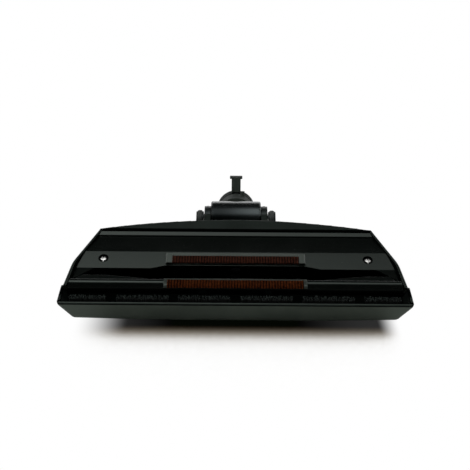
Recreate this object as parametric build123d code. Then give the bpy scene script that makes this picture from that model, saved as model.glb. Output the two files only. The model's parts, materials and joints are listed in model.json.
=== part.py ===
from build123d import *
import math
import os

# Vacuum floor brush head, in millimetres. Every piece is drawn in the frame of the head: X along its width,
# Y back from the front lip, Z out of the sole, with the lip's rim at zero. At the end the head is laid
# on its roof, sole up, as it lies when it is turned over to be cleaned.

# Fits
running_fit = 0.06
moving_gap = 0.3
seam_gap = 0.6
overcut = 1.0

# Housing
head_width = 280.0
bumper_depth = 24.0
cheek_start = 3.0
cheek_run = 11.5
cheek_corner = 5.0
bumper_edge = 3.5
bumper_lap = 2.0
shoulder_inset = 2.0
waist_inset = 5.5
waist_y = 52.0
waist_blend = 45.0
rear_inset = 23.0
rear_lean = 11.7
rear_crown = 13.8
head_depth = 112.5
wall = 2.5
lip_round = 1.2
front_height = 18.5
wing_slope = 5.1
shoulder_start = 68.0
shoulder_rise = 1.55
roof_edge = 7.0
deck_slope = 14.0
deck_front = 11.0
deck_front_half = 66.0
deck_rear_half = 46.0
deck_flank = 35.0

# Sole plate
plate_thickness = 2.4
land_level = -1.0
land_tilt = 10.5
land_end = 67.0
trough_depth = 1.4
trough_step = 0.8
rim_width = 4.0
rear_margin = 18.5
apron_gap = 2.5
rim_rise = 0.9
bar_front = 20.3
bar_depth = 11.0
bar_height = 7.5
bar_nose = 4.5
bar_back = 2.5
bar_wall = 2.2
channel_rear_middle = 52.3
channel_rear_side = 49.1
channel_throat_half = 57.0
channel_bend = 13.0
channel_margin = 3.0
channel_blend = 5.0
ramp_depth = 4.7
ramp_inset = 7.0
ramp_flat = 18.5
ramp_run = 36.0
tab_inner = 82.0
tab_width = 11.0
tab_thickness = 1.5

# Sole screws and their bosses
screw_inset = 21.5
screw_back = 7.3
screw_head = 3.3
screw_shank = 1.6
screw_head_height = 1.8
screw_well = 4.2
screw_well_depth = 2.0
screw_length = 12.0
boss_radius = 4.0

# Lint strips
rear_pad_half = 52.5
rear_pad_lead = 1.2
rear_pad_depth = 7.9
pad_thickness = 1.4
tray_thickness = 0.8
clip_length = 5.5
clip_rise = 1.3
ledge_depth = 3.8
front_pad_half = 54.8
front_pad_reach = 1.0
front_pad_rear = 28.3
front_rim_rise = 0.8

# Brush
carrier_gap = 0.4
carrier_rear = 18.5
carrier_bottom = -14.0
carrier_top = -7.5
carrier_corner = 4.0
carrier_chamfer = 3.0
strips_per_side = 3
strip_length = 41.2
strip_gap = 8.0
strip_margin = 5.5
strip_front = 4.4
strip_depth = 6.2
strip_height = 5.6

# Pedal and its lever
pin_radius = 2.0
pivot_rise = 6.0
pedal_half = 29.4
pedal_reach = 19.4
pedal_room = 3.6
pedal_thickness = 2.4
pedal_recess = 0.8
pedal_corner = 5.0
cheek_width = 5.4
cheek_radius = 4.6
lever_thickness = 3.2
lever_notch = 3.3
finger_radius = 2.0
finger_y = 13.5
finger_z = -10.9
groove_front = 10.6
flange_reach = 0.7
pillar_width = 5.0
pillar_depth = 9.0
pillar_cap = 4.2
tread_count = 5
tread_width = 1.6
tread_depth = 0.5
tread_half = 22.0
spring_width = 8.0
spring_thickness = 0.6
spring_room = 3.0
spring_foot_depth = 4.0
spring_foot_height = 9.0
spring_rise = 3.6

# Neck
drum_reach = 24.5
drum_z = -22.0
drum_radius = 20.0
drum_half = 22.4
drum_wall = 2.5
drum_edge = 1.6
window_half = 16.0
window_above = 20.0
window_below = 90.0
trunnion_radius = 8.0
ear_thickness = 5.6
ear_radius = 15.5
ear_reach = 10.2
ear_height = 17.8
tube_radius = 15.8
tube_end = 25.0
spigot_radius = 13.8
tube_bore = 11.8
seal_length = 1.0
ring_length = 8.0
ring_thickness = 1.7
lip_rise = 0.6
lip_length = 1.7
socket_radius = 18.25
socket_waist = 17.7
socket_flange = 7.0
socket_bead = 5.0
socket_ease = 1.0
socket_end = 67.5
wand_radius = 16.1
socket_stop = 2.2
table_gap = 0.3
hook_back = 2.5
hook_length = 9.0
hook_stem = 8.7
hook_flange = 12.0
hook_flange_thickness = 1.7
hook_rise = 15.4
nub_radius = 1.7
nub_rise = 3.2
nub_x = 6.4
nub_lead = 9.0

# Duct between the chamber and the drum
duct_half = 19.0
duct_lap = 2.0
duct_rise = 13.0
duct_fall = 14.0
duct_reach = 15.6
duct_wall = 2.0

# Caps and wheels
cap_screw_reach = 11.4
cap_screw_head = 2.4
cap_screw_shank = 1.3
cap_screw_head_height = 1.6
cap_screw_rise = 8.0
cap_screw_length = 16.0
wheel_lead = 4.3
wheel_drop = 4.5
wheel_radius = 9.4
wheel_width = 6.4
tyre_seat = 6.8
tyre_flange = 1.1
hub_dish = 1.2
hub_radius = 4.0
axle_radius = 2.0
axle_grip = 4.0
axle_head = 3.2
axle_head_length = 1.2

# Values that follow from those above
lean = math.radians(deck_slope)
slope_wing = math.tan(math.radians(wing_slope))
slope_deck = math.tan(lean)
slope_shoulder = math.tan(math.radians(shoulder_rise))
slope_land = math.tan(math.radians(land_tilt))
shoulder_half = head_width / 2 - shoulder_inset
waist_half = head_width / 2 - waist_inset
rear_half = head_width / 2 - rear_inset
rear_y = head_depth - rear_crown
plate_end = head_depth - rear_margin
trough_end = plate_end - rim_width
apron_front = plate_end + apron_gap
channel_front = bar_front + bar_depth
channel_half = min(shoulder_half, waist_half) - channel_margin
ramp_end = channel_half - ramp_inset
ramp_full = ramp_end - ramp_flat
ramp_start = ramp_full - ramp_run
screw_x = channel_half - screw_inset
screw_y = land_end - screw_back
screw_seat = land_level - slope_land * screw_back - screw_well_depth
rear_pad_front = channel_rear_middle + rear_pad_lead
carrier_inset = wall + carrier_gap
carrier_half = head_width / 2 - carrier_inset
drum_y = head_depth + drum_reach
duct_front = plate_end - duct_lap
duct_rear = drum_y - duct_reach
duct_top = drum_z + duct_rise
duct_bottom = drum_z - duct_fall
spring_foot_y = duct_front - spring_room - spring_foot_depth
spring_foot_z = spring_foot_height - front_height - slope_deck * spring_foot_y
pedal_rear = spring_foot_y - pedal_room
pivot_y = pedal_rear - pedal_reach
pivot_z = pivot_rise - front_height - slope_deck * pivot_y
pedal_front = pivot_y - pedal_reach
arm_inner = drum_half + moving_gap
arm_outer = arm_inner + ear_thickness
ear_front = drum_y - ear_reach
ear_top = drum_z + ear_height
wheel_y = ear_front - wheel_lead
wheel_z = ear_top - wheel_drop
cap_screw_y = drum_y + cap_screw_reach
cap_screw_seat = drum_z + cap_screw_rise
ring_start = tube_end + seal_length + moving_gap
ring_end = ring_start + ring_length
lip_start = ring_end + moving_gap
lip_end = lip_start + lip_length
socket_floor = lip_end + moving_gap
hook_start = socket_end - hook_back - hook_length
nub_s = hook_start - nub_lead
drum_height = (front_height + drum_z) * math.cos(lean) + drum_y * math.sin(lean)
socket_reach = math.hypot(socket_end, socket_radius)
socket_fall = math.asin((drum_height - table_gap) / socket_reach)
neck_angle = deck_slope + math.degrees(socket_fall - math.atan2(socket_radius, socket_end))


def block(x0, x1, y0, y1, z0, z1):
    return Pos((x0 + x1) / 2, (y0 + y1) / 2, (z0 + z1) / 2) * Box(x1 - x0, y1 - y0, z1 - z0)


def cross_rod(radius, x0, x1, y, z):
    return Pos((x0 + x1) / 2, y, z) * Rot(0, 90, 0) * Cylinder(radius, x1 - x0)


def post(radius, x, y, z0, z1):
    return Pos(x, y, (z0 + z1) / 2) * Cylinder(radius, z1 - z0)


def both_sides(solid):
    return solid + mirror(solid, about=Plane.YZ)


def side_view(face, x0, x1):
    """A face drawn with Y across and Z up, drawn out along X from x0 to x1."""
    return extrude(Plane((x0, 0, 0), x_dir=(0, 1, 0), z_dir=(1, 0, 0)) * face, x1 - x0)


def mirrored_outline(points):
    return make_face(Polyline(points + [(-x, y) for x, y in reversed(points) if x > 0], close=True))


# Housing

def bumper(inset):
    """Front of the head: a front view with cut-off lower cheeks, drawn back along the wings' slope."""
    half = head_width / 2
    foot = half - cheek_run
    foot_z = -front_height + slope_shoulder * (foot - shoulder_start)
    face = mirrored_outline([(half, inset), (half, -cheek_start), (foot, foot_z),
                             (shoulder_start, -front_height)])
    beyond = shoulder_start + overcut
    face = fillet([v for v in face.vertices() if abs(v.X) > beyond and v.Y < 0], cheek_corner)
    if inset:
        face = offset(face, -inset)
    back = Vector(0, 1, -slope_wing).normalized()
    start = Plane((0, inset, -slope_wing * inset), x_dir=(1, 0, 0), z_dir=(0, -1, 0))
    solid = extrude(start * face, (bumper_depth - 2 * inset) / back.Y, dir=back)
    front = [e for e in solid.faces().sort_by(Axis.Y)[0].edges() if e.center().Z < -2 * inset - overcut]
    solid = fillet(front, bumper_edge - inset)
    if inset:
        return solid
    rim = solid.faces().sort_by(Axis.Z)[-1].edges()
    return fillet([e for e in rim if e.center().Y < bumper_depth - overcut], lip_round)


def body_plan(front):
    plan = mirrored_outline([(shoulder_half, front), (waist_half, waist_y), (rear_half, rear_y),
                             (rear_half - rear_lean, head_depth + rear_crown)])
    waist = [v for v in plan.vertices() if abs(v.Y - waist_y) < overcut]
    plan = fillet(waist, waist_blend)
    crown_radius = (rear_half ** 2 + rear_crown ** 2) / (2 * rear_crown)
    return plan & (Pos(0, head_depth - crown_radius) * Circle(crown_radius))


def wing_planes(inset):
    """Roof of the wings: a gentle slope, with shoulders that rise towards the ends."""
    planes = []
    for tilt in (0, slope_shoulder, -slope_shoulder):
        normal = Vector(-tilt, slope_wing, 1).normalized()
        start = math.copysign(shoulder_start, tilt) if tilt else 0
        planes.append(Plane(Vector(start, 0, -front_height) + normal * inset, z_dir=normal))
    return planes


def deck_plane(inset):
    normal = Vector(0, slope_deck, 1).normalized()
    return Plane(Vector(0, 0, -front_height) + normal * inset, z_dir=normal)


def roofed(plan, inset, seam_y):
    """The plan drawn down to the wings' roof, with its edges rounded but for the seam between the blocks."""
    solid = extrude(plan, -head_depth)
    for plane in wing_planes(inset):
        solid = split(solid, bisect_by=plane, keep=Keep.TOP)
    lower = []
    for edge in solid.edges():
        middle = edge.center()
        along = edge.tangent_at(0.5)
        crease = abs(abs(middle.X) - shoulder_start) < roof_edge and abs(along.Y) > abs(along.X)
        seam = abs(middle.Y - seam_y) < 2 * inset + seam_gap
        level = abs(along.Z) < max(abs(along.X), abs(along.Y))
        if middle.Z < -front_height / 2 and level and not crease and not seam:
            lower.append(edge)
    solid = fillet(lower, roof_edge - inset)
    if inset:
        return solid
    rim = solid.faces().sort_by(Axis.Z)[-1].edges()
    return fillet([e for e in rim if e.center().Y > seam_y + overcut], lip_round)


def deck(inset):
    """Raised middle of the roof, which holds the duct and the pedal and narrows towards the neck."""
    front_z = -front_height - slope_deck * deck_front
    rear_z = -front_height - slope_deck * head_depth
    solid = block(-head_width / 2, head_width / 2, deck_front + inset, head_depth + rear_crown,
                  rear_z - wall, -wall)
    solid = split(solid, bisect_by=deck_plane(inset), keep=Keep.TOP)
    along = Vector(deck_rear_half - deck_front_half, head_depth - deck_front, rear_z - front_z)
    lean = Vector(math.sin(math.radians(deck_flank)), 0, math.cos(math.radians(deck_flank)))
    inward = lean.cross(along).normalized()
    inward = inward if inward.X < 0 else inward * -1
    for side in (1, -1):
        normal = Vector(inward.X * side, inward.Y, inward.Z)
        origin = Vector(deck_front_half * side, deck_front, front_z) + normal * inset
        solid = split(solid, bisect_by=Plane(origin, z_dir=normal), keep=Keep.TOP)
    return solid


def rear_limit(inset):
    crown_radius = (rear_half ** 2 + rear_crown ** 2) / (2 * rear_crown)
    return Pos(0, head_depth - crown_radius, -head_depth / 2) * Cylinder(crown_radius - inset, head_depth)


def head_solid(inset):
    front = bumper_depth - bumper_lap - inset
    plan = body_plan(front - inset)
    if inset:
        plan = offset(plan, -inset)
    return bumper(inset) + roofed(plan, inset, front) + (deck(inset) & rear_limit(inset))


def arm_face():
    """Side view of one fork arm: it carries the wheel's axle and the lower half of the drum's bearing."""
    root = head_depth - wall - rear_crown / 4
    face = make_face(Polyline((root, ear_top), (ear_front, ear_top), (ear_front, drum_z), (drum_y, drum_z),
                              (drum_y, drum_z - ear_radius), (root, duct_bottom), close=True))
    lower = Pos(drum_y, drum_z - ear_radius) * Rectangle(3 * ear_radius, 2 * ear_radius)
    return face + (Pos(drum_y, drum_z) * Circle(ear_radius) & lower)


def trunnion_bore():
    return cross_rod(trunnion_radius + running_fit, arm_inner - overcut, arm_outer + overcut, drum_y, drum_z)


def arm():
    solid = side_view(arm_face(), arm_inner, arm_outer)
    solid -= trunnion_bore()
    solid -= cross_rod(axle_radius, arm_outer - axle_grip, arm_outer + overcut, wheel_y, wheel_z)
    return solid - post(cap_screw_shank, (arm_inner + arm_outer) / 2, cap_screw_y,
                        cap_screw_seat - cap_screw_length, drum_z + overcut)


def screw_boss():
    solid = post(boss_radius, screw_x, screw_y, -front_height - head_depth * slope_wing,
                 screw_seat - plate_thickness)
    return solid - post(screw_shank, screw_x, screw_y, screw_seat - screw_length, 0)


def pin_pillar():
    inner = pedal_half + moving_gap
    solid = block(inner, inner + pillar_width, pivot_y - pillar_depth / 2, pivot_y + pillar_depth / 2,
                  -front_height - head_depth * slope_deck, pivot_z + pillar_cap)
    return solid - cross_rod(pin_radius, inner - overcut, inner + pillar_width + overcut, pivot_y, pivot_z)


def spring_post():
    top = spring_foot_z - spring_thickness / 2
    return block(-spring_width / 2, spring_width / 2, spring_foot_y, spring_foot_y + spring_foot_depth,
                 -front_height - head_depth * slope_deck, top)


def housing():
    outer = head_solid(0)
    cavity = head_solid(wall)
    lid = block(-head_width / 2, head_width / 2, apron_front, head_depth + rear_crown, -wall, overcut)
    shell = outer - (cavity - lid)
    inside = both_sides(screw_boss()) + both_sides(pin_pillar()) + spring_post()
    shell += inside & outer
    shell += both_sides(arm())
    shell -= block(-duct_half, duct_half, duct_front, head_depth + rear_crown, duct_bottom, duct_top)
    opening = Pos(0, (pedal_front + pedal_rear) / 2) * RectangleRounded(
        2 * pedal_half + 2 * moving_gap, pedal_rear - pedal_front + 2 * seam_gap, pedal_corner)
    shell -= extrude(Pos(0, 0, -front_height) * opening, -head_depth)
    drum_room = cross_rod(drum_radius + moving_gap, -arm_inner, arm_inner, drum_y, drum_z)
    return shell - drum_room


# Sole

def bar_face(grow=0.0):
    face = Pos(bar_front + bar_depth / 2, -bar_height / 2) * Rectangle(bar_depth, bar_height)
    upper = face.vertices().group_by(Axis.Y)[-1].sort_by(Axis.X)
    face = fillet(upper[0], bar_nose)
    upper = [v for v in face.vertices() if v.Y > -bar_nose / 2 and v.X > channel_front - overcut]
    face = fillet(upper, bar_back)
    return offset(face, grow) if grow else face


def bar_hollow():
    face = Pos(bar_front + bar_depth / 2, -bar_height / 2 - bar_wall) * Rectangle(
        bar_depth - 2 * bar_wall, bar_height)
    return fillet(face.vertices().group_by(Axis.Y)[-1], bar_wall)


def land_at(y):
    """Height of the land, which slopes down from its crease to the suction channel."""
    return land_level - slope_land * (land_end - y)


def on_land(solid):
    """Turns a piece that is drawn on a level land onto the sloping one, about the crease."""
    return Pos(0, land_end, land_level) * Rot(land_tilt, 0, 0) * Pos(0, -land_end, -land_level) * solid


def sheet_face():
    """Section of the plate behind the bar: sloping land, trough and rear rim, one thickness throughout."""
    low = land_at(channel_rear_side)
    top = [(channel_front - bar_wall, low), (channel_rear_side, low), (land_end, land_level),
           (trough_end - trough_step, land_level - trough_depth),
           (trough_end, land_level), (plate_end, land_level + rim_rise)]
    under = [(y, z - plate_thickness) for y, z in reversed(top)]
    return make_face(Polyline(top + under, close=True))


def channel_plan():
    bend = channel_throat_half + channel_bend
    shelf = channel_front + ramp_depth
    plan = mirrored_outline([
        (channel_half, channel_front), (channel_half, shelf),
        (channel_half - 3 * channel_blend, channel_rear_side), (bend, channel_rear_side),
        (channel_throat_half, channel_rear_middle)])
    return fillet([v for v in plan.vertices() if v.Y > shelf + overcut], channel_blend / 2)


def ramp():
    """Shelf behind one half of the bar, which narrows the channel towards its end."""
    root = channel_front - bar_wall / 2
    edge = channel_front + ramp_depth
    tip = ramp_end + channel_blend
    plan = make_face(Polyline((ramp_start, root), (ramp_start, channel_front), (ramp_full, edge),
                              (ramp_end, edge), (tip, channel_front), (tip, root), close=True))
    plan = fillet([v for v in plan.vertices() if v.Y > edge - overcut], channel_blend / 2)
    return extrude(Pos(0, 0, land_level) * plan, -plate_thickness)


def sole_plan():
    inset = wall + seam_gap
    plan = offset(body_plan(bar_front - 2 * inset), -inset)
    return plan & (Pos(0, (bar_front + plate_end) / 2) * Rectangle(head_width, plate_end - bar_front))


def sole_plate():
    bar = bar_face() - bar_hollow()
    reach = max(shoulder_half, waist_half)
    solid = side_view(bar, -reach, reach) + side_view(sheet_face(), -reach, reach)
    solid &= extrude(Pos(0, 0, -head_depth / 2) * sole_plan(), head_depth)
    solid -= extrude(Pos(0, 0, -head_depth / 2) * channel_plan(), head_depth)
    solid += both_sides(ramp())
    well = post(screw_well, screw_x, screw_y, screw_seat, 0)
    cup_radius = screw_well + bar_wall / 2
    cup = post(cup_radius, screw_x, screw_y, screw_seat - plate_thickness, land_at(screw_y - cup_radius))
    hole = post(screw_shank, screw_x, screw_y, -head_depth / 2, 0)
    solid = solid + both_sides(cup) - both_sides(well) - both_sides(hole)
    notch = block(pedal_half - cheek_width - moving_gap, pedal_half + moving_gap, bar_front - overcut,
                  channel_front + overcut, -bar_height - overcut, -lever_notch)
    solid -= both_sides(notch)
    tab = block(tab_inner, tab_inner + tab_width, plate_end, apron_front,
                land_level - tab_thickness, land_level)
    return solid + both_sides(tab)


def sole_screws():
    screw = post(screw_head, screw_x, screw_y, screw_seat, screw_seat + screw_head_height)
    screw = fillet(screw.edges().group_by(Axis.Z)[-1], screw_head_height / 2)
    slot = screw_head_height / 2
    screw -= block(screw_x - screw_head, screw_x + screw_head, screw_y - slot / 2, screw_y + slot / 2,
                   screw_seat + slot, screw_seat + screw_head_height)
    screw -= block(screw_x - slot / 2, screw_x + slot / 2, screw_y - screw_head, screw_y + screw_head,
                   screw_seat + slot, screw_seat + screw_head_height)
    screw += post(screw_shank, screw_x, screw_y, screw_seat - screw_length, screw_seat)
    return Compound([screw.solid(), mirror(screw, about=Plane.YZ).solid()])


def rear_lint_holder():
    half = rear_pad_half + clip_length
    pad_rear = rear_pad_front + rear_pad_depth
    holder_rear = pad_rear + ledge_depth
    tray = block(-half, half, rear_pad_front, holder_rear, land_level, land_level + tray_thickness)
    ledge = block(-rear_pad_half, rear_pad_half, pad_rear, holder_rear, land_level, land_level + clip_rise)
    clip = block(rear_pad_half, half, rear_pad_front, pad_rear + ledge_depth / 2,
                 land_level, land_level + tray_thickness + clip_rise)
    clip = chamfer(clip.edges().filter_by(Axis.Y).group_by(Axis.Z)[-1].sort_by(Axis.X)[-1], clip_rise)
    ledge = fillet(ledge.edges().filter_by(Axis.X).group_by(Axis.Z)[-1], tray_thickness / 2)
    return on_land(tray + ledge + both_sides(clip))


def rear_lint_pad():
    floor = land_level + tray_thickness
    pad = block(-rear_pad_half, rear_pad_half, rear_pad_front, rear_pad_front + rear_pad_depth,
                floor, floor + pad_thickness)
    return on_land(fillet(pad.edges().filter_by(Axis.X).group_by(Axis.Z)[-1], pad_thickness / 2))


def front_lint_pad():
    wrap = bar_face(pad_thickness) - bar_face()
    reach = front_pad_rear - bar_front + 2 * pad_thickness
    keep = Pos(front_pad_rear - reach / 2, 0) * Rectangle(reach, 2 * front_pad_reach)
    return side_view(wrap & keep, -front_pad_half, front_pad_half)


def front_lint_holder():
    """Rim behind the front strip, with a clip over each of its ends."""
    rim = block(-front_pad_half - clip_length / 2, front_pad_half + clip_length / 2, front_pad_rear,
                channel_front - bar_back / 2, 2 * land_level, front_rim_rise)
    rim = fillet(rim.edges().filter_by(Axis.X).group_by(Axis.Z)[-1], front_rim_rise / 2)
    wrap = bar_face(pad_thickness) - bar_face()
    keep = Pos(front_pad_rear - bar_depth / 2, 0) * Rectangle(bar_depth, 2 * front_pad_reach)
    clip = side_view(wrap & keep, front_pad_half, front_pad_half + clip_length / 2)
    bar = side_view(bar_face(), -head_width / 2, head_width / 2)
    return rim + both_sides(clip) - bar


# Brush

def brush_carrier():
    body = block(-carrier_half, carrier_half, carrier_inset, carrier_rear, carrier_bottom, carrier_top)
    body = fillet(body.edges().filter_by(Axis.Z).group_by(Axis.Y)[0], carrier_corner)
    lowest = body.edges().group_by(Axis.Z)[0]
    body = chamfer(lowest.filter_by(Axis.X).sort_by(Axis.Y)[0], carrier_chamfer)
    body &= bumper(carrier_inset)
    groove_low = finger_z - finger_radius - moving_gap
    reach = carrier_half + overcut
    behind = carrier_rear + overcut
    body -= block(-reach, reach, groove_front, behind, groove_low, finger_z + finger_radius + moving_gap)
    return body - block(-reach, reach, finger_y + flange_reach, behind,
                        carrier_bottom - overcut, groove_low + moving_gap)


def bristle_strips():
    strips = []
    for i in range(strips_per_side):
        inner = strip_gap / 2 + i * (strip_length + strip_gap)
        outer = min(inner + strip_length, carrier_half - strip_margin)
        strip = block(inner, outer, strip_front, strip_front + strip_depth,
                      carrier_top, carrier_top + strip_height)
        strip = fillet(strip.edges().filter_by(Axis.X).group_by(Axis.Z)[-1], strip_depth / 4)
        strips += [strip.solid(), mirror(strip, about=Plane.YZ).solid()]
    return Compound(strips)


# Pedal

def pedal_sheet(lift, thickness):
    """A sheet parallel to the deck, lifted into the head from its outer face."""
    plan = Pos(0, (pedal_front + pedal_rear) / 2) * RectangleRounded(
        2 * pedal_half, pedal_rear - pedal_front, pedal_corner)
    solid = extrude(plan, -head_depth)
    solid = split(solid, bisect_by=deck_plane(lift), keep=Keep.TOP)
    return split(solid, bisect_by=deck_plane(lift + thickness), keep=Keep.BOTTOM)


def lever_face():
    """Side view of a cheek with its lever: from the pivot to the finger in the brush carrier."""
    run = Vector(finger_y - pivot_y, finger_z - pivot_z)
    length = run.length
    turn = math.degrees(math.atan2(run.Y, run.X))
    beam = Pos(pivot_y, pivot_z) * Rot(0, 0, turn) * Pos(length / 2, 0) * Rectangle(length, lever_thickness)
    hub = Pos(pivot_y, pivot_z) * Circle(cheek_radius)
    finger = Pos(finger_y, finger_z) * Circle(finger_radius)
    foot_top = -front_height - slope_deck * pivot_y + pedal_recess
    foot = Pos(pivot_y, (pivot_z + foot_top + pedal_thickness) / 2) * Rectangle(
        2 * cheek_radius, pivot_z - foot_top - pedal_thickness / 2)
    return beam + hub + finger + foot


def pedal():
    sheet = pedal_sheet(pedal_recess, pedal_thickness)
    for i in range(tread_count):
        groove_y = pedal_front + (i + 1) * (pivot_y - pedal_front) / (tread_count + 1)
        groove = block(-tread_half, tread_half, groove_y - tread_width / 2, groove_y + tread_width / 2,
                       -head_depth, 0)
        sheet -= groove & pedal_sheet(pedal_recess, tread_depth)
    cheek = side_view(lever_face(), pedal_half - cheek_width, pedal_half)
    solid = sheet + both_sides(split(cheek, bisect_by=deck_plane(pedal_recess), keep=Keep.TOP))
    return solid - cross_rod(pin_radius + running_fit, -head_width / 2, head_width / 2, pivot_y, pivot_z)


def pedal_pin():
    half = pedal_half + moving_gap + pillar_width
    return cross_rod(pin_radius, -half, half, pivot_y, pivot_z)


def detent_spring():
    """Leaf spring screwed behind the pedal, whose nose presses towards the pin."""
    nose_y = pivot_y + pin_radius + moving_gap
    line = [(spring_foot_y + spring_foot_depth, spring_foot_z),
            (spring_foot_y - spring_thickness, spring_foot_z),
            (nose_y + spring_rise, pivot_z - spring_rise / 2), (nose_y, pivot_z + spring_rise / 2),
            (nose_y + spring_rise / 2, pivot_z + spring_rise)]
    return side_view(trace(Polyline(line), spring_thickness), -spring_width / 2, spring_width / 2)


# Air path

def air_duct():
    solid = block(-duct_half, duct_half, duct_front, duct_rear, duct_bottom, duct_top)
    solid -= block(-duct_half + duct_wall, duct_half - duct_wall, duct_front - overcut, duct_rear + overcut,
                   duct_bottom + duct_wall, duct_top - duct_wall)
    return solid - cross_rod(drum_radius + moving_gap, -drum_half, drum_half, drum_y, drum_z)


# Neck, drawn along its own axis from the middle of the drum

def neck_place():
    turn = math.radians(neck_angle)
    return Plane((0, drum_y, drum_z), x_dir=(1, 0, 0), z_dir=(0, math.cos(turn), -math.sin(turn))).location


def turned(points):
    """A ring or tube: points give radius and distance along the neck."""
    return revolve(Plane.XZ * make_face(Polyline(points, close=True)), Axis.Z)


def tilt_elbow():
    drum = cross_rod(drum_radius, -drum_half, drum_half, drum_y, drum_z)
    drum = fillet(drum.edges().filter_by(GeomType.CIRCLE), drum_edge)
    tube = Pos(0, 0, tube_end / 2) * Cylinder(tube_radius, tube_end)
    spigot = turned([(0, tube_end), (spigot_radius, tube_end), (spigot_radius, lip_start),
                     (spigot_radius + lip_rise, lip_start), (spigot_radius, lip_end), (0, lip_end)])
    solid = drum + neck_place() * (tube + spigot)
    solid -= cross_rod(drum_radius - drum_wall, drum_wall - drum_half, drum_half - drum_wall, drum_y, drum_z)
    solid -= neck_place() * (Pos(0, 0, lip_end / 2 + drum_wall) * Cylinder(tube_bore, lip_end))
    sector = make_face(Polyline((0, 0), *[
        (-2 * drum_radius * math.cos(math.radians(a)), -2 * drum_radius * math.sin(math.radians(a)))
        for a in (-window_above, (window_below - window_above) / 2, window_below)], close=True))
    solid -= side_view(Pos(drum_y, drum_z) * sector, -window_half, window_half)
    trunnion = cross_rod(trunnion_radius, drum_half - drum_wall, arm_outer, drum_y, drum_z)
    return solid + both_sides(trunnion)


def swivel_seal():
    seal_end = tube_end + seal_length
    return neck_place() * turned([(spigot_radius, tube_end), (tube_radius, tube_end),
                                  (tube_radius, seal_end), (spigot_radius, seal_end)])


def swivel_ring():
    inner = spigot_radius + running_fit
    outer = spigot_radius + ring_thickness
    return neck_place() * turned([(inner, ring_start), (outer, ring_start), (outer, ring_end),
                                  (inner, ring_end)])


def wand_socket():
    seat = spigot_radius + ring_thickness
    stop = spigot_radius + lip_rise + moving_gap
    floor = socket_floor + socket_stop
    flange_end = ring_start + socket_flange
    bead_start = socket_end - socket_bead
    shell = turned([
        (seat, ring_start), (socket_radius, ring_start), (socket_radius, flange_end),
        (socket_waist, flange_end + socket_ease), (socket_waist, bead_start - socket_ease),
        (socket_radius, bead_start), (socket_radius, socket_end), (wand_radius, socket_end),
        (wand_radius, floor), (stop, floor), (stop, ring_end), (seat, ring_end)])
    top = socket_waist + hook_rise
    hook_end = hook_start + hook_length
    stem = block(-hook_stem / 2, hook_stem / 2, -top, -wand_radius - overcut, hook_start, hook_end)
    cap = block(-hook_flange / 2, hook_flange / 2, -top, -top + hook_flange_thickness, hook_start, hook_end)
    cap = fillet(cap.edges().filter_by(Axis.Z), hook_flange_thickness / 3)
    nub = Pos(nub_x, -socket_waist, nub_s) * Rot(90, 0, 0) * Cylinder(nub_radius, 2 * nub_rise)
    outside = nub - Pos(0, 0, nub_s) * Cylinder(wand_radius + overcut, 4 * nub_radius)
    return neck_place() * (shell + stem + cap + outside)


# Caps and wheels

def bearing_cap():
    upper = Pos(drum_y, drum_z + ear_radius) * Rectangle(3 * ear_radius, 2 * ear_radius)
    face = (Pos(drum_y, drum_z) * Circle(ear_radius)) & upper
    behind = Pos(ear_front + 2 * ear_radius, drum_z) * Rectangle(4 * ear_radius, 4 * ear_radius)
    solid = side_view(face & behind, arm_inner, arm_outer)
    solid -= trunnion_bore()
    middle = (arm_inner + arm_outer) / 2
    solid -= post(cap_screw_head + running_fit, middle, cap_screw_y, cap_screw_seat, 0)
    return solid - post(cap_screw_shank, middle, cap_screw_y, drum_z - overcut, 0)


def cap_screws():
    middle = (arm_inner + arm_outer) / 2
    screw = post(cap_screw_head, middle, cap_screw_y, cap_screw_seat, cap_screw_seat + cap_screw_head_height)
    screw += post(cap_screw_shank, middle, cap_screw_y, cap_screw_seat - cap_screw_length, cap_screw_seat)
    return Compound([screw.solid(), mirror(screw, about=Plane.YZ).solid()])


def wheel_frame(side):
    """Axis of a wheel from the fork arm outwards."""
    start = (arm_outer + moving_gap) * side
    return Plane((start, wheel_y, wheel_z), x_dir=(0, 1, 0), z_dir=(side, 0, 0)).location


def wheel(side):
    bore = axle_radius + running_fit
    rim = wheel_radius - tyre_flange
    shape = turned([
        (bore, 0), (rim, 0), (rim, tyre_flange), (tyre_seat, tyre_flange),
        (tyre_seat, wheel_width - tyre_flange), (rim, wheel_width - tyre_flange), (rim, wheel_width),
        (hub_radius + hub_dish, wheel_width), (hub_radius, wheel_width - hub_dish),
        (bore, wheel_width - hub_dish)])
    return wheel_frame(side) * shape


def tyre(side):
    crown = wheel_radius - tyre_flange / 2
    shape = turned([
        (tyre_seat, tyre_flange), (crown, tyre_flange), (wheel_radius, 2 * tyre_flange),
        (wheel_radius, wheel_width - 2 * tyre_flange), (crown, wheel_width - tyre_flange),
        (tyre_seat, wheel_width - tyre_flange)])
    return wheel_frame(side) * shape


def wheel_axle(side):
    seat = wheel_width - hub_dish + moving_gap
    shape = turned([
        (0, -axle_grip - moving_gap), (axle_radius, -axle_grip - moving_gap), (axle_radius, seat),
        (axle_head, seat), (axle_head, seat + axle_head_length), (0, seat + axle_head_length)])
    return wheel_frame(side) * shape


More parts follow.
